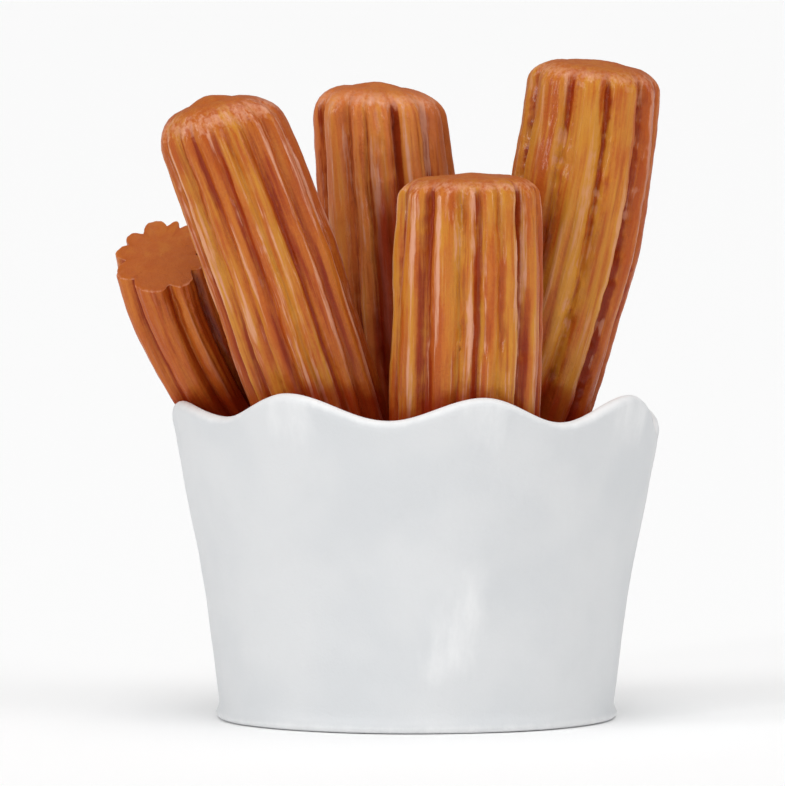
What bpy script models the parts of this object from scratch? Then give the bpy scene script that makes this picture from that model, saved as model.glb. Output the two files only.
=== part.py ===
"""A toy cup of churros, cast in resin and painted: seven fluted churros stand in a paper cup with a wavy rim.

Sizes are in metres, +Z is up and the origin is the middle of the cup's foot. The front, with the two nearest
churros, faces -Y.
"""

import math
from collections import namedtuple

import bmesh
import bpy
from mathutils import Matrix, Vector

MM = 0.001

# The cup: solid below its floor, with a turned wall that widens towards a wavy rim. The rim is lower round
# the back, from BACK_START to BACK_END, which are shares of the way from the front (0) to the back (1).
FOOT_RADIUS = 7.38 * MM
RIM_RADIUS = 9.3 * MM
RIM_HEIGHT = 12.2 * MM
WALL = 0.55 * MM
WALL_CURVE = 1.3
FOOT_FLARE = 0.15 * MM
FOOT_FLARE_HEIGHT = 0.6 * MM
SCALLOPS = 8
SCALLOP_RISE = 0.5 * MM
SCALLOP_TURN = math.radians(15.0)
SIDES_PER_SCALLOP = 8
FLUTE = 0.13 * MM
FLUTE_START = 2.0 * MM
BACK_DROP = 1.1 * MM
BACK_START = 0.2
BACK_END = 0.55
RIM_CROWN = 0.12 * MM
FLOOR_HEIGHT = 8.9 * MM

# The filling: the brown mass that closes the cup's mouth, on which the churros stand.
GAP = 0.3 * MM
FILLING_TOP = 10.2 * MM
FILLING_EDGE = 0.25 * MM
FILLING_SIDES = 48
CHURRO_FOOT = FILLING_TOP + GAP

# The churros: sticks with rounded ridges between narrow grooves. The three widths are shares of a stick's
# own width. SPARE is what the blank has beyond each end that is cut off, and SLANTING_CUT faces up, forward
# and left.
GROOVE = 0.4 * MM
GROOVE_SHARPNESS = 1.8
POINTS_PER_RIDGE = 4
FOOT_WIDTH = 0.93
BELLY_WIDTH = 1.06
TOP_WIDTH = 0.9
SHOULDER = 1.1 * MM
CROWN = 0.55
CROWN_RISE = 0.14
END_GROOVE = 0.4
BODY_RINGS = 7
SHOULDER_RINGS = 3
SLANT_REACH = 3.0 * MM
SPARE = 2.0 * MM
SLANTING_CUT = (-0.3, -0.62, 0.72)

CUP_COLOUR = (0.70, 0.71, 0.73)
CHURRO_COLOUR = (0.46, 0.14, 0.035)
FILLING_COLOUR = (0.30, 0.075, 0.018)

# Lengths in this table are in mm. foot: where the axis meets the filling, as (x, y). tip: the top of the
# axis. bow: how far to the right the middle of the axis lies off the straight line. width is across the stick
# as the front sees it, and depth is away from the front. taper is how much wider the end is than the foot, as
# a share of both. twist turns the ridges about the axis, in radians. slant raises the right side of the end,
# for each mm across. cut is the way that a flat end faces, or None.
Churro = namedtuple("Churro", "name foot tip bow width depth taper ridges twist slant cut")
CHURROS = (
    Churro("churro_front_middle", (1.75, -5.2), (1.95, -5.6, 20.95), 0.1, 5.8, 4.7, 0.0, 12, 0.0, 0.0, None),
    Churro("churro_front_left", (-3.2, -3.3), (-7.85, -5.0, 23.2), 0.2, 5.1, 4.4, 0.0, 11, 0.2, 0.2, None),
    Churro("churro_right", (3.6, -0.55), (6.75, -0.6, 24.9), 0.62, 5.3, 4.6, 0.12, 9, 0.1, -0.05, None),
    Churro("churro_middle", (-0.35, 2.3), (-1.5, 1.9, 23.9), 0.0, 5.5, 4.4, 0.0, 11, 0.35, -0.2, None),
    Churro("churro_left", (-6.4, 0.3), (-9.62, -1.2, 17.5), -0.5, 3.4, 3.6, 0.3, 9, 0.1, 0.0, SLANTING_CUT),
    Churro("churro_rear_left", (-4.1, 4.8), (-4.9, 6.2, 19.2), 0.0, 3.9, 3.7, 0.0, 9, 0.5, 0.0, None),
    Churro("churro_rear_right", (3.6, 4.6), (4.5, 6.2, 18.2), 0.0, 3.9, 3.7, 0.0, 9, 0.0, 0.0, None),
)


def clear_scene():
    for obj in list(bpy.data.objects):
        bpy.data.objects.remove(obj)


def paint(name, colour, roughness):
    material = bpy.data.materials.new(name)
    material.use_nodes = True
    shader = material.node_tree.nodes["Principled BSDF"]
    shader.inputs["Base Color"].default_value = (*colour, 1.0)
    shader.inputs["Roughness"].default_value = roughness
    shader.inputs["Metallic"].default_value = 0.0
    return material


def turned(profile, steps):
    """A closed bmesh turned about Z from (radius, height) points that start and end on the axis."""
    bm = bmesh.new()
    points = [bm.verts.new((radius, 0.0, height)) for radius, height in profile]
    edges = [bm.edges.new(pair) for pair in zip(points, points[1:])]
    bmesh.ops.spin(
        bm,
        geom=points + edges,
        cent=(0, 0, 0),
        axis=(0, 0, 1),
        angle=math.tau,
        steps=steps,
        use_merge=True,
    )
    bmesh.ops.remove_doubles(bm, verts=bm.verts, dist=1e-6)
    bmesh.ops.recalc_face_normals(bm, faces=bm.faces)
    return bm


def add_node(name, bm, material, collection):
    mesh = bpy.data.meshes.new(name)
    bm.to_mesh(mesh)
    bm.free()
    mesh.materials.append(material)
    mesh.shade_smooth()
    mesh.set_sharp_from_angle(angle=math.radians(50.0))
    obj = bpy.data.objects.new(name, mesh)
    collection.objects.link(obj)
    return obj


def smooth_step(value, start, end):
    t = min(max((value - start) / (end - start), 0.0), 1.0)
    return t * t * (3.0 - 2.0 * t)


def wall_radius(height):
    """Outer radius of the cup: nearly upright at the foot and more slanting towards the rim."""
    spread = (RIM_RADIUS - FOOT_RADIUS) * (height / RIM_HEIGHT) ** WALL_CURVE
    flare = FOOT_FLARE * (1.0 - smooth_step(height, 0.0, FOOT_FLARE_HEIGHT))
    return FOOT_RADIUS + spread + flare


def cup_profile():
    """Foot, outer wall, rounded rim, inner wall and floor of the cup."""
    heights = (0.0, 0.15, 0.6, 1.6, 3.6, 6.0, 8.4, 10.2, 11.4)
    outer = [(wall_radius(height * MM), height * MM) for height in heights]
    rim = [
        (RIM_RADIUS, RIM_HEIGHT),
        (RIM_RADIUS - WALL / 2, RIM_HEIGHT + RIM_CROWN),
        (RIM_RADIUS - WALL, RIM_HEIGHT),
    ]
    inner = [
        (wall_radius(height) - WALL, height)
        for height in (11.4 * MM, 10.6 * MM, FLOOR_HEIGHT)
    ]
    return [(0.0, 0.0), *outer, *rim, *inner, (0.0, FLOOR_HEIGHT)]


def make_cup(collection):
    """The rim rises and falls in scallops, each with a shallow flute below it, and is lower at the back."""
    bm = turned(cup_profile(), SCALLOPS * SIDES_PER_SCALLOP)
    for vert in bm.verts:
        radius = math.hypot(vert.co.x, vert.co.y)
        if radius < MM:
            continue
        angle = math.atan2(vert.co.x, -vert.co.y)
        wave = math.cos(SCALLOPS * (angle - SCALLOP_TURN))
        flute = FLUTE * wave * smooth_step(vert.co.z, FLUTE_START, RIM_HEIGHT)
        grown = (radius + flute) / radius
        vert.co.x *= grown
        vert.co.y *= grown
        back = smooth_step((1.0 - math.cos(angle)) / 2, BACK_START, BACK_END)
        rise = SCALLOP_RISE * wave - BACK_DROP * back
        outside = radius > wall_radius(vert.co.z) - WALL / 2
        share = vert.co.z / RIM_HEIGHT if outside else smooth_step(vert.co.z, FLOOR_HEIGHT, RIM_HEIGHT)
        vert.co.z += rise * share
    add_node("cup", bm, paint("white_paint", CUP_COLOUR, 0.55), collection)


def make_filling(collection, material):
    bottom = FLOOR_HEIGHT + GAP
    reach = WALL + GAP + FLUTE
    profile = [
        (0.0, bottom),
        (wall_radius(bottom) - reach, bottom),
        (wall_radius(FILLING_TOP) - reach, FILLING_TOP - FILLING_EDGE),
        (wall_radius(FILLING_TOP) - reach - FILLING_EDGE, FILLING_TOP),
        (0.0, FILLING_TOP),
    ]
    add_node("filling", turned(profile, FILLING_SIDES), material, collection)


def churro_profile(length):
    """A round blank of radius 1 with a rounded shoulder and a low crown at its far end."""
    straight = length - SHOULDER
    body = [(1.0, straight * ring / BODY_RINGS) for ring in range(BODY_RINGS + 1)]
    shoulder = []
    for ring in range(1, SHOULDER_RINGS + 1):
        turn = 0.5 * math.pi * ring / SHOULDER_RINGS
        height = straight + (1.0 - CROWN_RISE) * SHOULDER * math.sin(turn)
        shoulder.append((CROWN + (1.0 - CROWN) * math.cos(turn), height))
    return [(0.0, 0.0), *body, *shoulder, (0.0, length)]


def bent(start, middle, end, t):
    """A value at t from 0 to 1 on the curve from start to end that middle pulls to its side."""
    return start * (1 - t) ** 2 + middle * 2 * t * (1 - t) + end * t**2


def axis_frame(start, middle, end, t):
    """Place on the bent axis, with X across the front and Z along the stick."""
    along = ((middle - start) * (1 - t) + (end - middle) * t).normalized()
    across = (Vector((1, 0, 0)) - along * along.x).normalized()
    turn = Matrix((across, along.cross(across), along)).transposed().to_4x4()
    return Matrix.Translation(bent(start, middle, end, t)) @ turn


def shape_churro(bm, churro, start, middle, end, length):
    """Flutes the turned blank, flattens it, slants its end and bends it along its axis."""
    for vert in bm.verts:
        x, y, height = vert.co
        angle = math.atan2(y, x)
        groove = (0.5 + 0.5 * math.cos(churro.ridges * angle)) ** GROOVE_SHARPNESS
        fade = 1.0 - (1.0 - END_GROOVE) * smooth_step(height, length - SHOULDER, length)
        share = height / length
        swell = bent(FOOT_WIDTH, BELLY_WIDTH, TOP_WIDTH, share) + churro.taper * (share - 0.5)
        radius = math.hypot(x, y)
        dip = GROOVE * groove * fade
        across = radius * math.cos(angle + churro.twist) * (churro.width * MM * swell / 2 - dip)
        away = radius * math.sin(angle + churro.twist) * (churro.depth * MM * swell / 2 - dip)
        height += churro.slant * across * smooth_step(height, length - SLANT_REACH, length)
        vert.co = axis_frame(start, middle, end, height / length) @ Vector((across, away, 0.0))


def make_churro(churro, collection, material):
    """A fluted stick whose foot is cut level, and whose end is rounded or cut at a slant."""
    foot = Vector((churro.foot[0] * MM, churro.foot[1] * MM, CHURRO_FOOT))
    tip = Vector(churro.tip) * MM
    middle = (foot + tip) / 2 + Vector((churro.bow * MM * 2, 0, 0))
    start = foot - (middle - foot).normalized() * SPARE
    end = tip + (tip - middle).normalized() * SPARE if churro.cut else tip
    length = (end - start).length
    bm = turned(churro_profile(length), churro.ridges * POINTS_PER_RIDGE)
    shape_churro(bm, churro, start, middle, end, length)
    cut_flat(bm, foot, Vector((0, 0, -1)))
    if churro.cut:
        cut_flat(bm, tip, Vector(churro.cut).normalized())
    add_node(churro.name, bm, material, collection)


def cut_flat(bm, point, normal):
    """Removes what lies beyond the plane and closes the cut."""
    cut = bmesh.ops.bisect_plane(
        bm,
        geom=bm.verts[:] + bm.edges[:] + bm.faces[:],
        dist=1e-7,
        plane_co=point,
        plane_no=normal,
        clear_outer=True,
    )
    edges = [item for item in cut["geom_cut"] if isinstance(item, bmesh.types.BMEdge)]
    bmesh.ops.contextual_create(bm, geom=edges)
    bmesh.ops.recalc_face_normals(bm, faces=bm.faces)


def main():
    clear_scene()
    collection = bpy.data.collections.new("cup_of_churros")
    bpy.context.scene.collection.children.link(collection)
    make_cup(collection)
    make_filling(collection, paint("dark_brown_paint", FILLING_COLOUR, 0.6))
    brown = paint("churro_paint", CHURRO_COLOUR, 0.45)
    for churro in CHURROS:
        make_churro(churro, collection, brown)


main()
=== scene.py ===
"""The painted finish of a toy cup of churros: a resin casting of seven churros in a white paper cup."""

import math
import random
from collections import namedtuple

import bmesh
import bpy
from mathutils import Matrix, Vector, noise
from mathutils.bvhtree import BVHTree


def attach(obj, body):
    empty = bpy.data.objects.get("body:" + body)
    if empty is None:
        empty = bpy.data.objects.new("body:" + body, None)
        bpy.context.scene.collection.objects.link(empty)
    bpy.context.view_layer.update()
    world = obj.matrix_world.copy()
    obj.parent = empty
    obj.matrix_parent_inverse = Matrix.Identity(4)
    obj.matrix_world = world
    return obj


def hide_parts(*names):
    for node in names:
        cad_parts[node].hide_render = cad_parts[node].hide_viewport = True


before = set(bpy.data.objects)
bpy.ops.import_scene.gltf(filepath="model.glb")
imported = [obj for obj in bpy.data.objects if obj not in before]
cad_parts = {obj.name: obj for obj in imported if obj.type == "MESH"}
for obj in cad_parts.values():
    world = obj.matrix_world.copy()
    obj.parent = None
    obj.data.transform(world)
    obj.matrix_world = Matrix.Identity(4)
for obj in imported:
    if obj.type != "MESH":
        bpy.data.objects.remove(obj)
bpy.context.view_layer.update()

# The paper cup: a turned form with a wavy rim, cast in resin with the rest of the toy and painted matt white
# with a brush. The modeller pressed soft flutes under the scallops and one slanting crease across the front,
# and the brown paint of the contents runs a little way up the inside. The crease, the wall under each peak,
# the rim's edge and the foot's edge are painted lighter, as painted highlights where the light catches them.
MM = 0.001  # Every form is made in mm, and piece() turns it to metres.
CUP_FOOT_RADIUS = 7.38
CUP_RIM_RADIUS = 9.3
CUP_RIM_HEIGHT = 12.2
CUP_WALL_CURVE = 1.3
CUP_WALL = 0.62
CUP_FLOOR = 9.3
CUP_LIFT_START = 8.9
PAINT_EDGE = 0.8
FOOT_FLARE = 0.17
FOOT_FLARE_HEIGHT = 0.7
FOOT_ROUND = 0.22
CUP_SIDES = 256
CUP_ROWS = 62
# Peaks and valleys of the rim, in turn: degrees to the right of the front, and height in mm.
RIM_LINE = (
    (-77, 12.1), (-54, 11.75), (-32, 12.8), (-7, 11.85), (16, 12.7), (38, 11.66), (61, 12.5), (86, 10.95),
    (108, 11.5), (130, 10.8), (152, 11.6), (175, 10.85), (197, 11.65), (219, 10.9), (241, 11.9), (262, 11.2),
)
SCALLOP = 45.0
FLUTE = 0.09
FLUTE_START = 3.0
DENT = 0.07
DENT_SIZE = 3.6
SMALL_DENT_SIZE = 1.3
CREASE_TOP = Vector((3.0, 7.6))
CREASE_FOOT = Vector((0.3, 0.6))
CREASE_WIDTH = 1.15
CREASE_RISE = 0.13
# How much the painted highlight lightens the crease, the foot's edge and the wall under each peak; 1 is the
# rim.
CREASE_HIGHLIGHT = 0.72
FOOT_HIGHLIGHT = 0.7
PEAK_HIGHLIGHT = 0.6
DULL_WHITE = (0.625, 0.64, 0.655, 1)
PLAIN_WHITE = (0.67, 0.68, 0.69, 1)
HIGHLIGHT_WHITE = (0.79, 0.795, 0.80, 1)
BLED_BROWN = (0.30, 0.075, 0.016, 1)


class Value:
    """An output of a shader's nodes. Arithmetic on it adds the Math nodes that work it out."""

    def __init__(self, paint, socket):
        self.paint = paint
        self.socket = socket

    def math(self, operation, *values):
        return self.paint.node("Math", {"operation": operation}, dict(enumerate(values)))

    def __add__(self, other):
        return self.math("ADD", self, other)

    def __radd__(self, other):
        return self.math("ADD", other, self)

    def __sub__(self, other):
        return self.math("SUBTRACT", self, other)

    def __rsub__(self, other):
        return self.math("SUBTRACT", other, self)

    def __mul__(self, other):
        return self.math("MULTIPLY", self, other)

    def __rmul__(self, other):
        return self.math("MULTIPLY", other, self)

    def at_least(self, low):
        return self.math("MAXIMUM", self, low)

    def at_most(self, high):
        return self.math("MINIMUM", self, high)

    def between(self, low, high):
        """0 where the value is low and 1 where it is high, with a smooth change from one to the other."""
        limits = {"Value": self, "From Min": low, "From Max": high}
        return self.paint.node("MapRange", {"interpolation_type": "SMOOTHSTEP"}, limits)


class Paint:
    """A material and the nodes behind it."""

    def __init__(self, name):
        self.material = bpy.data.materials.new(name)
        self.material.use_nodes = True
        self.tree = self.material.node_tree
        self.shader = self.tree.nodes["Principled BSDF"]

    def node(self, kind, settings, sockets, output=0):
        """Adds a node of any kind, sets it up, fills or links its sockets and gives one of its outputs."""
        made = self.tree.nodes.new("ShaderNode" + kind)
        for name, setting in settings.items():
            setattr(made, name, setting)
        for name, value in sockets.items():
            self.fill(made.inputs[name], value)
        return Value(self, made.outputs[output])

    def fill(self, socket, value):
        if isinstance(value, Value):
            self.tree.links.new(value.socket, socket)
        else:
            socket.default_value = value

    def mix(self, share, first, second):
        """The first colour where share is 0 and the second where it is 1."""
        colours = {0: share, 6: first, 7: second}
        return self.node("Mix", {"data_type": "RGBA"}, colours, output=2)

    def attribute(self, name, output=2):
        """A number kept on the mesh's points, or a vector where output is 1."""
        return self.node("Attribute", {"attribute_name": name}, {}, output)

    def stretched(self, vector, scale):
        """Coordinates for a pattern that is drawn out along each axis whose scale is small."""
        return self.node("VectorMath", {"operation": "MULTIPLY"}, {0: vector, 1: scale})

    def clouds(self, vector, scale, detail=3.0, roughness=0.5):
        sockets = {"Vector": vector, "Scale": scale, "Detail": detail, "Roughness": roughness}
        return self.node("TexNoise", {}, sockets)

    def bump(self, height, distance, strength=1.0):
        return self.node("Bump", {}, {"Height": height, "Distance": distance, "Strength": strength})

    def finish(self, **sockets):
        """Fills or links the shader's own sockets, given by their names in lower case."""
        for name, value in sockets.items():
            self.fill(self.shader.inputs[name.replace("_", " ").title().replace("Ior", "IOR")], value)
        return self.material


def smooth(value, start, end):
    """0 at start and 1 at end, with no corner between."""
    share = min(max((value - start) / (end - start), 0.0), 1.0)
    return share * share * (3.0 - 2.0 * share)


def turned(profile, sides):
    """A closed form turned about Z from (radius, height) points in mm, from axis to axis."""
    form = bmesh.new()
    points = [form.verts.new((radius, 0.0, height)) for radius, height in profile]
    edges = [form.edges.new(pair) for pair in zip(points, points[1:])]
    bmesh.ops.spin(
        form, geom=points + edges, cent=(0, 0, 0), axis=(0, 0, 1), angle=math.tau, steps=sides, use_merge=True
    )
    bmesh.ops.remove_doubles(form, verts=form.verts, dist=1e-5)
    bmesh.ops.recalc_face_normals(form, faces=form.faces)
    return form


def piece(name, form, material):
    """Makes the form, whose mesh is in mm, into a piece of the toy that rides on its body."""
    bmesh.ops.scale(form, vec=(MM, MM, MM), verts=form.verts)
    mesh = bpy.data.meshes.new(name)
    form.to_mesh(mesh)
    form.free()
    mesh.materials.append(material)
    mesh.shade_smooth()
    made = bpy.data.objects.new(name, mesh)
    bpy.context.scene.collection.objects.link(made)
    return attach(made, "root")


def wall_radius(height):
    """Radius of the wall's outside, which flares again at the foot."""
    share = (max(height, 0.0) / CUP_RIM_HEIGHT) ** CUP_WALL_CURVE
    flare = FOOT_FLARE * (1.0 - smooth(height, 0.0, FOOT_FLARE_HEIGHT))
    return CUP_FOOT_RADIUS + (CUP_RIM_RADIUS - CUP_FOOT_RADIUS) * share + flare


def rim_line(angle):
    """Height of the rim at an angle in degrees, eased from each peak or valley to the next."""
    angle = (angle - RIM_LINE[0][0]) % 360 + RIM_LINE[0][0]
    stops = [*RIM_LINE, (RIM_LINE[0][0] + 360, RIM_LINE[0][1])]
    for (start, low), (end, high) in zip(stops, stops[1:]):
        if angle <= end:
            return low + (high - low) * (0.5 - 0.5 * math.cos(math.pi * (angle - start) / (end - start)))
    return stops[-1][1]


def arc(centre, radius, start, end, steps):
    """Points on a round edge of the profile, from one angle in degrees to another."""
    turns = [math.radians(start + (end - start) * step / steps) for step in range(steps + 1)]
    return [(centre[0] + radius * math.cos(turn), centre[1] + radius * math.sin(turn)) for turn in turns]


def cup_profile():
    """The cup's outline: out under the foot, up the wall, over the rim and down to the floor inside."""
    half = CUP_WALL / 2
    foot = arc((wall_radius(0) - FOOT_ROUND, FOOT_ROUND), FOOT_ROUND, -90, 0, 4)
    top = CUP_RIM_HEIGHT - half
    heights = [FOOT_ROUND + (top - FOOT_ROUND) * row / CUP_ROWS for row in range(1, CUP_ROWS)]
    rim = arc((wall_radius(top) - half, top), half, 0, 180, 8)
    inside = [(wall_radius(top - drop) - CUP_WALL, top - drop) for drop in (0.3, 0.7, 1.1, 1.6, 2.1)]
    floor = [(wall_radius(CUP_FLOOR) - CUP_WALL, CUP_FLOOR), (4.0, CUP_FLOOR), (0.0, CUP_FLOOR)]
    outside = [(wall_radius(height), height) for height in heights]
    return [(0, 0), (3, 0), (6, 0), *foot, *outside, *rim, *inside, *floor]


cup = turned(cup_profile(), CUP_SIDES)
inside_layer = cup.verts.layers.float.new("inside")
painted_highlight_layer = cup.verts.layers.float.new("painted_highlight")
for vert in cup.verts:
    radius = math.hypot(vert.co.x, vert.co.y)
    height = vert.co.z
    if radius < 0.5 or height < 0.01:
        continue
    angle = math.degrees(math.atan2(vert.co.x, -vert.co.y))
    lift = rim_line(angle) - CUP_RIM_HEIGHT
    # wave is above 0 under a peak of the rim and below 0 under a valley.
    wave = rim_line(angle) - 0.5 * (rim_line(angle - SCALLOP / 2) + rim_line(angle + SCALLOP / 2))
    out = FLUTE * wave * smooth(height, FLUTE_START, CUP_RIM_HEIGHT)
    out += DENT * noise.noise(vert.co / DENT_SIZE) + 0.4 * DENT * noise.noise(vert.co / SMALL_DENT_SIZE)
    crease = 0.0
    if vert.co.y < 0:
        along = CREASE_TOP - CREASE_FOOT
        offset = Vector((vert.co.x, height)) - CREASE_FOOT
        share = min(max(offset.dot(along) / along.length_squared, 0.0), 1.0)
        away = (offset - along * share).length / CREASE_WIDTH
        crease = math.exp(-away * away) * smooth(share, 0.0, 0.3) * smooth(1.0 - share, 0.0, 0.5)
    out += CREASE_RISE * crease
    # Painted highlight: the rim's top edge, the foot's edge, the crease and the wall under each peak are
    # painted lighter.
    edge = max(smooth(height, CUP_RIM_HEIGHT - 0.45, CUP_RIM_HEIGHT), FOOT_HIGHLIGHT * smooth(height, 0.5, 0.1))
    near_rim = smooth(height, CUP_RIM_HEIGHT - 3.0, CUP_RIM_HEIGHT - 0.6)
    under_peak = PEAK_HIGHLIGHT * smooth(wave, 0.3, 0.9) * near_rim
    vert[painted_highlight_layer] = max(CREASE_HIGHLIGHT * crease, edge, under_peak)
    vert.co.x *= 1.0 + out / radius
    vert.co.y *= 1.0 + out / radius
    inner = radius < wall_radius(height) - CUP_WALL * 0.6 and height > CUP_LIFT_START
    if inner:
        vert.co.z += lift * smooth(height, CUP_LIFT_START, CUP_RIM_HEIGHT)
        vert[inside_layer] = smooth(CUP_RIM_HEIGHT - height, 0.5 * PAINT_EDGE, 1.5 * PAINT_EDGE)
    else:
        vert.co.z += lift * (height / CUP_RIM_HEIGHT)

white = Paint("white_paint")
where = white.node("TexCoord", {}, {}, output=3)
patches = white.clouds(where, 260.0, detail=2.0)
strokes = white.clouds(white.stretched(where, (1.0, 1.0, 0.35)), 1700.0, detail=4.0, roughness=0.6)
grain = white.clouds(where, 9000.0, detail=2.0)
chalk = white.mix(patches.between(0.3, 0.7), DULL_WHITE, PLAIN_WHITE)
# The painted highlight, broken up by the brush strokes, lightens the white.
painted_highlight = (white.attribute("painted_highlight") + (strokes - 0.5) * 0.8).between(0.2, 1.1)
chalk = white.mix(painted_highlight, chalk, HIGHLIGHT_WHITE)
bled = (white.attribute("inside") + white.clouds(where, 900.0) * 0.5).between(0.7, 0.85)
white_surface = white.finish(
    base_color=white.mix(bled, chalk, BLED_BROWN),
    roughness=0.46 + 0.16 * strokes,
    normal=white.bump(strokes * 0.7 + grain * 0.3, 0.00006, 0.55),
)
cup = piece("paper_cup", cup, white_surface)
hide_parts("cup")

# The churros: sticks of fluted dough, sculpted one by one with ridges of uneven width, and cast with the cup.
# The painter laid a red-brown coat and dragged an ochre brush along the ridges. Painted shade darkens the
# grooves, the gaps between the sticks and their sides, and painted highlights lighten the crests and the
# ends' lips. A satin varnish catches the light along them.
CHURRO_FOOT = 10.5
BURIED = 1.2
SPARE = 2.0
STICK_SIDES = 224
ROW_HEIGHT = 0.12
FOOT_WIDTH = 0.93
BELLY_WIDTH = 1.06
TOP_WIDTH = 0.9
SHOULDER = 1.1
CROWN = 0.55
LEAST_CROWN = 0.35
CROWN_RISE = 0.12
END_STEPS = 9
SLANT_REACH = 3.0
END_WAVE = 0.06
GROOVE = 0.20
GROOVE_HALF_WIDTH = 6.0
GROOVE_WANDER = 2.4
GROOVE_SHIVER = 0.9
BACK_RIDGE = 30.0
RIDGE_CROWN = 0.27
FINE_RIDGE = 0.06
CRUMPLE = 0.10
LUMP = 0.08
SMALL_LUMP = 0.018
FULLNESS = 0.03

# foot and tip are on the stick's axis, in mm, and bow is how far right its middle lies off the straight line.
# taper is how much wider the end is than the foot. slant is the rise of the end for each mm to the right and
# each mm away from the front, and edge is the end's rounding. crumpled is how torn the sides of the grooves
# are, pink how much pinkish painted highlight the crests get, and pale how much sand colour lightens the coat
# as painted light, on a stick that stands in the others' shade. Each groove has its place in degrees to the
# right of the front, its depth, and the paint of the ridge on its right: 1 is ochre, 0 plain and -1 dark
# red-brown, which on the sticks' sides stands partly for shade, and above 1 the crest gets more painted
# highlight.
Stick = namedtuple("Stick", "name foot tip bow width depth taper slant edge crumpled pink pale grooves")
STICKS = (
    Stick(
        "churro_front_middle", foot=(1.75, -5.2), tip=(1.95, -5.6, 20.95), bow=0.1,
        width=5.8, depth=4.7, taper=0.0, slant=(0.0, -0.06), edge=SHOULDER, crumpled=0.35, pink=1.2, pale=0.0,
        grooves=(
            (-72, 0.7, 0.4), (-36, 1.0, 0.15), (-7, 0.8, 1.25), (8, 0.9, 0.2), (26, 0.4, 0.8),
            (48, 1.6, 0.35), (80, 0.9, -0.7),
        ),
    ),
    Stick(
        "churro_front_left", foot=(-3.2, -3.3), tip=(-7.84, -5.03, 23.8), bow=0.2,
        width=5.08, depth=4.4, taper=0.04, slant=(-0.15, -0.13), edge=2.0, crumpled=0.3, pink=1.1, pale=0.0,
        grooves=(
            (-84, 0.8, -0.9), (-66, 0.7, 1.35), (-44, 0.7, 0.3), (-24, 0.5, 0.0), (-8, 0.7, 0.25),
            (6, 0.4, 0.85), (26, 0.7, -0.3), (46, 0.4, -0.4), (72, 0.6, -0.9),
        ),
    ),
    Stick(
        "churro_right", foot=(3.6, -0.55), tip=(6.77, -0.6, 24.9), bow=0.56,
        width=5.2, depth=4.6, taper=0.08, slant=(-0.05, 0.0), edge=1.25, crumpled=1.0, pink=0.7, pale=0.0,
        grooves=((-70, 0.5, 0.45), (-24, 0.6, 0.7), (14, 0.6, 0.65), (52, 1.3, -0.9), (84, 0.9, -0.9)),
    ),
    Stick(
        "churro_middle", foot=(-0.35, 2.3), tip=(-1.5, 1.9, 23.9), bow=0.0,
        width=5.4, depth=4.4, taper=-0.03, slant=(-0.16, -0.05), edge=1.5, crumpled=0.3, pink=1.2, pale=0.35,
        grooves=(
            (-88, 0.8, -0.9), (-66, 0.8, 0.2), (-31, 0.75, 0.1), (-14, 0.6, 1.3), (0, 0.5, 0.4),
            (12, 1.4, 0.7), (46, 1.1, -0.9), (78, 0.9, -0.9),
        ),
    ),
    Stick(
        "churro_left", foot=(-6.4, 0.3), tip=(-9.6, -1.2, 17.6), bow=-0.5,
        width=3.4, depth=3.6, taper=0.3, slant=(0.0, 0.62), edge=0.22, crumpled=0.3, pink=0.3, pale=0.0,
        grooves=((-92, 1.3, -0.4), (-50, 0.7, -0.4), (6, 0.8, -0.5), (48, 1.1, -0.3), (80, 1.3, -0.6)),
    ),
    Stick(
        "churro_rear_left", foot=(-4.1, 4.8), tip=(-4.9, 6.2, 19.2), bow=0.0,
        width=3.9, depth=3.7, taper=0.0, slant=(0.0, 0.1), edge=SHOULDER, crumpled=0.4, pink=0.5, pale=0.0,
        grooves=((-70, 1.0, 0.2), (-30, 0.9, 0.0), (8, 1.1, 0.4), (52, 1.0, -0.3)),
    ),
    Stick(
        "churro_rear_right", foot=(3.6, 4.6), tip=(4.5, 6.2, 18.2), bow=0.0,
        width=3.9, depth=3.7, taper=0.0, slant=(0.05, -0.1), edge=SHOULDER, crumpled=0.4, pink=0.5, pale=0.0,
        grooves=((-62, 0.9, 0.3), (-20, 1.1, 0.1), (22, 0.9, 0.3), (60, 1.1, -0.2)),
    ),
)


def bent(start, middle, end, share):
    """A value part of the way from start to end on the curve that middle pulls to its side."""
    return start * (1 - share) ** 2 + middle * 2 * share * (1 - share) + end * share**2


def all_grooves(stick, draw):
    """The front's grooves as given, then uneven ones round the back, and the first one again a turn later."""
    front = list(stick.grooves)
    left = 360 + front[0][0] - front[-1][0]
    count = round(left / BACK_RIDGE)
    back = []
    for place in range(1, count):
        degrees = front[-1][0] + left * (place + draw.uniform(-0.2, 0.2)) / count
        depth = draw.uniform(0.6, 1.3)
        back.append((degrees, depth, draw.uniform(-0.4, 0.7)))
    return [*front, *back, (front[0][0] + 360, *front[0][1:])]


def stick_profile(length, edge):
    """A round blank of radius 1, with a rounded shoulder and rows of points across its end."""
    straight = length - edge
    rows = math.ceil(straight / ROW_HEIGHT)
    body = [(1.0, straight * row / rows) for row in range(rows + 1)]
    crown = max(1.0 - (1.0 - CROWN) * edge / SHOULDER, LEAST_CROWN)
    rise = edge * (1.0 - CROWN_RISE)
    shoulder = []
    face = []
    for step in range(1, END_STEPS):
        turn = 0.5 * math.pi * step / (END_STEPS - 1)
        shoulder.append((crown + (1.0 - crown) * math.cos(turn), straight + rise * math.sin(turn)))
        inwards = 1.0 - step / END_STEPS
        face.append((crown * inwards, length - edge * CROWN_RISE * inwards**2))
    return [(0.0, 0.0), (0.5, 0.0), *body, *shoulder, *face, (0.0, length)]


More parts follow.
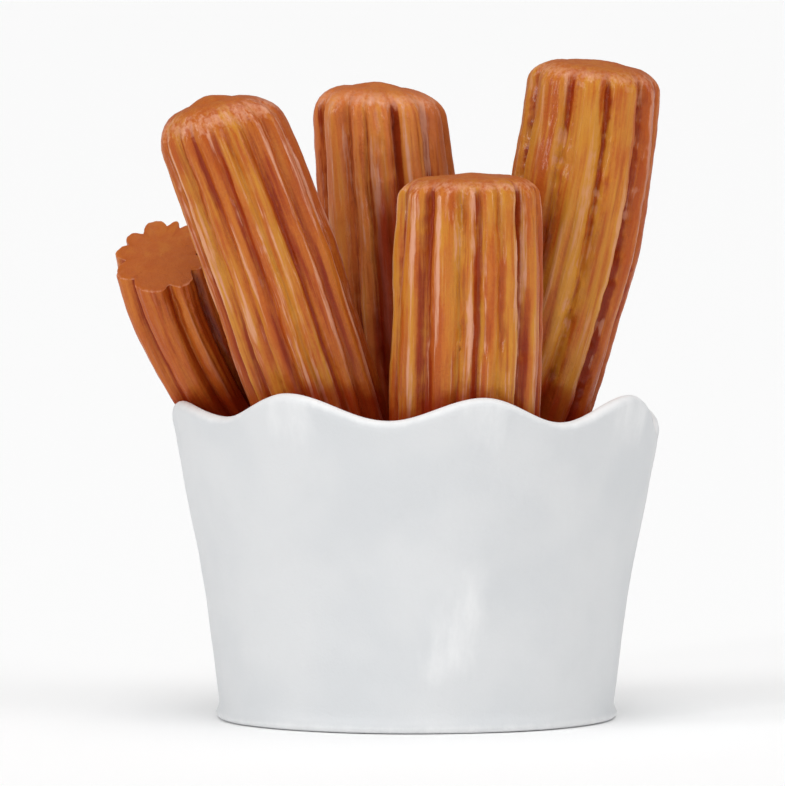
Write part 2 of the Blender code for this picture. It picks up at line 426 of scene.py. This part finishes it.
def make_stick(stick, seed):
    """Flutes and roughens a turned blank, slants its end, bends it and cuts off what the filling hides."""
    draw = random.Random(seed)
    grooves = all_grooves(stick, draw)
    swells = [draw.uniform(-0.05, 0.05) for _ in grooves]
    foot = Vector((*stick.foot, CHURRO_FOOT))
    tip = Vector(stick.tip)
    middle = (foot + tip) / 2 + Vector((stick.bow * 2, 0, 0))
    start = foot - (middle - foot).normalized() * SPARE
    length = (tip - start).length
    form = turned(stick_profile(length, stick.edge), STICK_SIDES)
    blank_layer = form.verts.layers.float_vector.new("blank")
    groove_layer = form.verts.layers.float.new("groove")
    crest_layer = form.verts.layers.float.new("crest")
    gold_layer = form.verts.layers.float.new("gold")
    fine_layer = form.verts.layers.float.new("fine")
    end_layer = form.verts.layers.float.new("end")
    lip_highlight_layer = form.verts.layers.float.new("lip_highlight")
    shift = Vector((seed * 7.3, seed * 3.1, 0.0))
    for vert in form.verts:
        radius = math.hypot(vert.co.x, vert.co.y)
        height = vert.co.z
        share = height / length
        angle = math.atan2(vert.co.x, -vert.co.y)
        round_it = Vector((math.sin(angle), -math.cos(angle), 0.0))
        rise = Vector((0.0, 0.0, height))

        # The ridge that the point is on, and its place across: -1 and 1 are the grooves on the ridge's sides.
        degrees = math.degrees(angle) + GROOVE_WANDER * noise.noise(round_it * 1.3 + rise / 2.4 + shift)
        degrees += GROOVE_SHIVER * noise.noise(round_it * 4.0 + rise / 0.8 + shift)
        degrees = (degrees - grooves[0][0]) % 360 + grooves[0][0]
        number = max(place for place, groove in enumerate(grooves[:-1]) if groove[0] <= degrees)
        left, right = grooves[number], grooves[number + 1]
        half = (right[0] - left[0]) / 2
        across = (degrees - left[0]) / half - 1.0
        depth = left[1] if across < 0 else right[1]

        # How far the groove, the ridge's round and the torn sides of the groove set the surface in.
        gap = (1.0 - abs(across)) * half
        narrow = min(GROOVE_HALF_WIDTH * (0.6 + 0.4 * depth), half * 0.7)
        cut = math.exp(-((gap / narrow) ** 2))
        at_end = smooth(height, length - stick.edge * 1.05, length - stick.edge * 0.2)
        fade = 1.0 - 0.85 * at_end * min(stick.edge, 1.0)
        crown = across * across * min(half / 16.0, 1.0)
        crumple = noise.noise(round_it * 5.5 + rise * 1.9 + shift)
        crumple += 0.6 * noise.noise(round_it * 11.0 + rise * 4.2 + shift)
        crease = math.exp(-((gap / (narrow * 1.6)) ** 2)) * stick.crumpled * crumple
        dip = fade * (GROOVE * depth * cut + RIDGE_CROWN * crown + CRUMPLE * crease)

        # How far the ridge's swelling, the lumps and the fine lines along the stick set it out.
        swell = bent(FOOT_WIDTH, BELLY_WIDTH, TOP_WIDTH, share) + stick.taper * (share - 0.5)
        lumps = LUMP * noise.noise(round_it + rise / 2.6 + shift)
        lumps += SMALL_LUMP * noise.noise(round_it * 4.0 + rise / 0.7)
        fine = noise.noise(round_it * 9.0 + rise * 0.12 + shift)
        fine += 0.4 * noise.noise(round_it * 19.0 + rise * 0.25 + shift)
        out = lumps + swells[number] * (1.0 - across * across) - dip + FULLNESS + FINE_RIDGE * fine * fade
        x = radius * math.sin(angle) * (stick.width * swell / 2 + out)
        y = -radius * math.cos(angle) * (stick.depth * swell / 2 + out)

        # The end's slant and unevenness.
        height += (stick.slant[0] * x + stick.slant[1] * y) * smooth(height, length - SLANT_REACH, length)
        near_end = smooth(vert.co.z, length - stick.edge, length)
        uneven = END_WAVE * noise.noise(Vector((x, y, 3.0)) + shift)
        uneven += END_WAVE / 3 * noise.noise(Vector((x, y, 5.0)) * 4.0)
        height += (uneven - END_WAVE) * near_end

        # What the paint follows. The end's middle has no ridges, so they fade out towards it.
        off_axis = smooth(radius, 0.3, 0.95)
        beside = grooves[(number + (1 if across > 0 else -1)) % (len(grooves) - 1)][2]
        vert[blank_layer] = Vector((x, y, height)) + shift
        vert[groove_layer] = (cut * min(depth, 1.3) - 0.2 * crease) * fade * off_axis
        vert[crest_layer] = (1.0 - abs(across) + 2.5 * max(crease, 0.0)) * off_axis
        vert[gold_layer] = left[2] + (beside - left[2]) * 0.5 * smooth(abs(across), 0.3, 1.0)
        vert[fine_layer] = (fine + 0.25 * crease) * off_axis
        vert[end_layer] = smooth(vert.co.z, length - 0.6 * min(stick.edge, 1.3), length - 0.1 * stick.edge)
        # Where the end's rounded lip gets a painted highlight.
        vert[lip_highlight_layer] = math.exp(-(((vert.co.z - length) / stick.edge + 0.45) / 0.35) ** 2)

        # The point's place on the bent and leaning stick.
        along = ((middle - start) * (1 - share) + (tip - middle) * share).normalized()
        sideways = (Vector((1, 0, 0)) - along * along.x).normalized()
        vert.co = bent(start, middle, tip, height / length) + sideways * x + along.cross(sideways) * y
    bmesh.ops.bisect_plane(
        form, geom=form.verts[:] + form.edges[:] + form.faces[:], dist=1e-6,
        plane_co=(0, 0, CHURRO_FOOT - BURIED), plane_no=(0, 0, -1), clear_outer=True,
    )
    bmesh.ops.holes_fill(form, edges=[edge for edge in form.edges if edge.is_boundary], sides=0)
    bmesh.ops.recalc_face_normals(form, faces=form.faces)
    return form


forms = [make_stick(stick, seed) for seed, stick in enumerate(STICKS, 1)]

# The painted shade on them, in dark red-brown. It lies where two sticks come within the reach set below of
# each other, on the sides that face into the bunch or away from the front, as a painted shadow in the hollow
# behind the foremost stick, and as a ragged line along the cup's rim. Each pair of heights says where it
# starts to fade and where it ends.
SHADE_REACH = 1.2
INSIDE_HEIGHTS = (12.5, 18.5)
BACK_HEIGHTS = (16.5, 19.0)
HOLLOW_HEIGHTS = (18.5, 20.7)
FOREMOST = STICKS[0]


def painted_shade_on(vert, others):
    """The share of painted shade on a point of a stick, where others are the trees of the other sticks."""
    x, y, z = vert.co
    near = SHADE_REACH
    for tree in others:
        place, _, _, distance = tree.find_nearest(vert.co, SHADE_REACH)
        if place is not None and (place - vert.co).dot(vert.normal) > 0:
            near = min(near, distance)
    touching = 1.0 - smooth(near, 0.2, SHADE_REACH)
    flat = Vector((x, y, 0.0))
    facing_in = max(-vert.normal.dot(flat) / flat.length, 0.0)
    inside = facing_in * (1.0 - smooth(z, *INSIDE_HEIGHTS))
    behind = max(-vert.normal.y, 0.0) * smooth(y, 1.5, 3.5) * (1.0 - smooth(z, *BACK_HEIGHTS))
    ragged = 0.15 * noise.noise(vert.co * 1.7) + 0.15 * noise.noise(vert.co * 4.0)
    low = 1.0 - smooth(z - rim_line(math.degrees(math.atan2(x, -y))) + ragged, -0.2, 0.7)
    # A painted shadow in the hollow behind the foremost stick, around its silhouette.
    beside = abs(x - FOREMOST.foot[0]) - FOREMOST.width / 2
    beside += 0.3 * noise.noise(Vector((x * 1.5, y, z * 0.4)))
    hollow = (1.0 - smooth(beside, 0.15, 0.75)) * smooth(y, -3.4, -2.0) * (1.0 - smooth(y, 0.8, 2.4))
    hollow *= 1.0 - smooth(z, *HOLLOW_HEIGHTS)
    return min(0.7 * touching + inside + behind + 0.9 * low + hollow, 1.0)


trees = [BVHTree.FromBMesh(form) for form in forms]
for form, own in zip(forms, trees):
    painted_shade_layer = form.verts.layers.float.new("painted_shade")
    others = [tree for tree in trees if tree is not own]
    for vert in form.verts:
        vert[painted_shade_layer] = painted_shade_on(vert, others)

LEAN_ORANGE = (0.43, 0.085, 0.010, 1)
FULL_ORANGE = (0.53, 0.155, 0.020, 1)
RED_BROWN = (0.34, 0.048, 0.004, 1)
OCHRE = (0.57, 0.24, 0.026, 1)
PAINTED_LIGHT_SAND = (0.85, 0.27, 0.08, 1)
GROOVE_SHADE_BROWN = (0.26, 0.021, 0.0015, 1)
CREST_HIGHLIGHT_PINK = (0.67, 0.31, 0.19, 1)
LIP_HIGHLIGHT_PINK = (0.68, 0.30, 0.17, 1)
PLAIN_END = (0.40, 0.096, 0.016, 1)
PAINTED_SHADE_RED = (0.25, 0.013, 0.001, 1)


def churro_paint(stick):
    """The coat, painted shade, painted highlights, dragged ochre and varnish of one stick."""
    paint = Paint(stick.name + "_paint")
    blank = paint.attribute("blank", output=1)
    groove = paint.attribute("groove")
    gold = paint.attribute("gold")
    fine = paint.attribute("fine")
    end = paint.attribute("end")
    painted_shade = paint.attribute("painted_shade")

    # Brush marks of three widths run along the stick, over patches and grains that have no direction.
    smears = paint.clouds(paint.stretched(blank, (1.0, 1.0, 0.12)), 1.3, detail=3.0, roughness=0.55)
    streaks = paint.clouds(paint.stretched(blank, (1.0, 1.0, 0.07)), 2.6, detail=4.0, roughness=0.6)
    lines = paint.clouds(paint.stretched(blank, (1.0, 1.0, 0.05)), 5.0, detail=4.0, roughness=0.65)
    patches = paint.clouds(blank, 0.5, detail=3.0)
    speckle = paint.clouds(blank, 8.0, detail=3.0)

    coat = paint.mix((streaks + 0.2 * speckle).between(0.45, 0.75), LEAN_ORANGE, FULL_ORANGE)
    # Red-brown smears, and red-brown on ridges whose paint is below 0, which on the sticks' sides stands
    # partly for shade.
    red = ((smears - 0.5) * 2.6 - 0.8 * gold + (lines - 0.5) * 1.4).between(0.1, 1.1)
    coat = paint.mix(red * 0.8, coat, RED_BROWN)
    ochre = 0.8 * gold.at_most(0.7) + fine * 0.5 + (streaks - 0.5) * 2.0
    ochre = (ochre + (lines - 0.5) + (patches - 0.5) * 1.2).between(0.05, 0.9)
    coat = paint.mix(ochre * 0.9, coat, OCHRE)
    # Painted light: sand colour lightens the coat of a stick that stands in the others' shade.
    coat = paint.mix(stick.pale, coat, PAINTED_LIGHT_SAND)
    # The grooves and the hollows of the fine relief are painted dark brown, partly as painted shade in them.
    dark = (groove - fine * 0.8 + (lines - 0.5) * 1.8).between(0.3, 1.0)
    coat = paint.mix(dark * 0.9, coat, GROOVE_SHADE_BROWN)
    # Painted highlights: thin pinkish lines along the crests that stand for the varnish's glints, stronger on
    # ridges whose paint is above 1.
    pink = paint.attribute("crest") * 0.3 + (gold - 1.0).at_least(0.0) * 0.9 + fine * 0.8
    pink = (pink + (lines - 0.5) * 3.2 + (smears - 0.5)).between(0.4, 1.0)
    coat = paint.mix(pink * (0.8 * stick.pink), coat, CREST_HIGHLIGHT_PINK)
    # Painted highlight along the lip of each end, where the rounded edge catches the light.
    lip_highlight = (paint.attribute("lip_highlight") + (lines - 0.5) * 2.0 + (speckle - 0.5) * 0.8).between(0.6, 1.2)
    coat = paint.mix(lip_highlight * 0.6, coat, LIP_HIGHLIGHT_PINK)
    coat = paint.mix(end * (1.0 - 0.4 * patches), coat, PLAIN_END)
    # Painted shade: the dark red-brown between the sticks, in the hollows and along the rim, which is also
    # matt.
    coat = paint.mix(painted_shade * 0.85, coat, PAINTED_SHADE_RED)
    return paint.finish(
        base_color=coat,
        roughness=0.34 + 0.20 * lines + 0.12 * groove + 0.2 * end,
        normal=paint.bump(lines * 0.7 + speckle * 0.3, 0.00011, 0.7),
        specular_ior_level=0.08,
        coat_weight=(0.38 - 0.3 * end - 0.3 * painted_shade).at_least(0.03),
        coat_roughness=0.14,
        coat_ior=1.45,
    )


for stick, form in zip(STICKS, forms):
    made = piece(stick.name.replace("churro", "fluted_churro"), form, churro_paint(stick))
    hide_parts(stick.name)

# The filling: the lumpy brown mass that the modeller pressed round the feet of the churros, so that the
# casting has no deep holes. It fills the cup's mouth from wall to wall and has the darkest brown paint.
FILLING_LEVEL = 10.35
FILLING_SIDES = 160
FILLING_ROWS = 44
FRONT_RISE = 0.55
MIDDLE_RISE = 0.3
BIG_LUMP = 0.35
LITTLE_LUMP = 0.16
DEEP_BROWN = (0.16, 0.026, 0.005, 1)
LUMP_BROWN = (0.36, 0.085, 0.016, 1)

filling_radius = wall_radius(10.4) - CUP_WALL + 0.1
profile = [(0.0, CUP_FLOOR - 0.2), (filling_radius, CUP_FLOOR - 0.2)]
profile += [(filling_radius * (1.0 - row / FILLING_ROWS), FILLING_LEVEL) for row in range(FILLING_ROWS + 1)]
filling = turned(profile, FILLING_SIDES)
for vert in filling.verts:
    if vert.co.z < CUP_FLOOR:
        continue
    radius = math.hypot(vert.co.x, vert.co.y)
    lumpy = BIG_LUMP * noise.noise(vert.co / 1.1) + LITTLE_LUMP * noise.noise(vert.co / 0.45)
    front = smooth(-vert.co.y, -2.0, 8.0)
    vert.co.z += FRONT_RISE * front + lumpy + MIDDLE_RISE * smooth(radius, 8.6, 3.0)

mass = Paint("dark_brown_paint")
where = mass.node("TexCoord", {}, {}, output=3)
lumps = mass.clouds(where, 1400.0, detail=4.0)
fine = mass.clouds(where, 7000.0, detail=2.0)
mass_surface = mass.finish(
    base_color=mass.mix(lumps.between(0.35, 0.7), DEEP_BROWN, LUMP_BROWN),
    roughness=0.48 + 0.25 * fine,
    normal=mass.bump(lumps * 0.5 + fine * 0.5, 0.0001, 0.7),
    specular_ior_level=0.15,
    coat_weight=0.06,
    coat_roughness=0.25,
)
filling = piece("brown_filling", filling, mass_surface)
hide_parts("filling")

# The studio: a pale floor in soft white light, with broad lamps from the left, the right, the front and
# above, and a narrow upright strip that draws the varnish's lines. The camera stands a metre off with a long
# lens and looks slightly down.
TOY_MIDDLE = Vector((0, 0, 0.013))
bpy.ops.mesh.primitive_circle_add(vertices=96, radius=1.2, fill_type="NGON", location=(0, 0, -0.00002))
floor = bpy.context.object
floor.name = "studio_floor"
floor_paint = Paint("studio_floor_white")
floor.data.materials.append(floor_paint.finish(base_color=(0.96, 0.96, 0.96, 1), roughness=0.9))

sky = bpy.data.worlds.new("studio_light")
sky.use_nodes = True
sky.node_tree.nodes["Background"].inputs["Color"].default_value = (1.0, 1.0, 1.0, 1.0)
sky.node_tree.nodes["Background"].inputs["Strength"].default_value = 0.42
bpy.context.scene.world = sky


def lamp(name, kind, place, **settings):
    """A soft lamp at a place, facing the middle of the toy."""
    light = bpy.data.lights.new(name, kind)
    for setting, value in settings.items():
        setattr(light, setting, value)
    made = bpy.data.objects.new(name, light)
    made.location = place
    made.rotation_mode = "QUATERNION"
    made.rotation_quaternion = (TOY_MIDDLE - Vector(place)).to_track_quat("-Z", "Y")
    bpy.context.scene.collection.objects.link(made)


lamp("key_lamp", "SUN", (-0.85, -0.50, 0.42), energy=0.73, angle=math.radians(25))
lamp("fill_lamp", "SUN", (0.85, -0.50, 0.33), energy=0.64, angle=math.radians(30))
lamp("front_top_lamp", "SUN", (0.0, -0.53, 1.0), energy=0.9, angle=math.radians(35))
lamp("top_lamp", "SUN", (0.05, 0.15, 1.0), energy=0.62, angle=math.radians(40))
lamp("strip_lamp", "AREA", (-0.32, -0.48, 0.13), energy=0.40, shape="RECTANGLE", size=0.006, size_y=0.3)

CAMERA_DISTANCE = 1.0
CAMERA_ELEVATION = math.radians(4.2)
CAMERA_TARGET = Vector((-0.0009, 0.0, 0.01225))
FRAME_HEIGHT = 0.0296
camera = bpy.data.cameras.new("camera")
camera.sensor_width = 36.0
camera.lens = camera.sensor_width * CAMERA_DISTANCE / FRAME_HEIGHT
camera.clip_start = 0.05
camera_object = bpy.data.objects.new("camera", camera)
back = Vector((0.0, -math.cos(CAMERA_ELEVATION), math.sin(CAMERA_ELEVATION)))
camera_object.location = CAMERA_TARGET + back * CAMERA_DISTANCE
camera_object.rotation_euler = (math.pi / 2 - CAMERA_ELEVATION, 0.0, 0.0)
bpy.context.scene.collection.objects.link(camera_object)
bpy.context.scene.camera = camera_object
bpy.context.scene.view_settings.view_transform = "Standard"
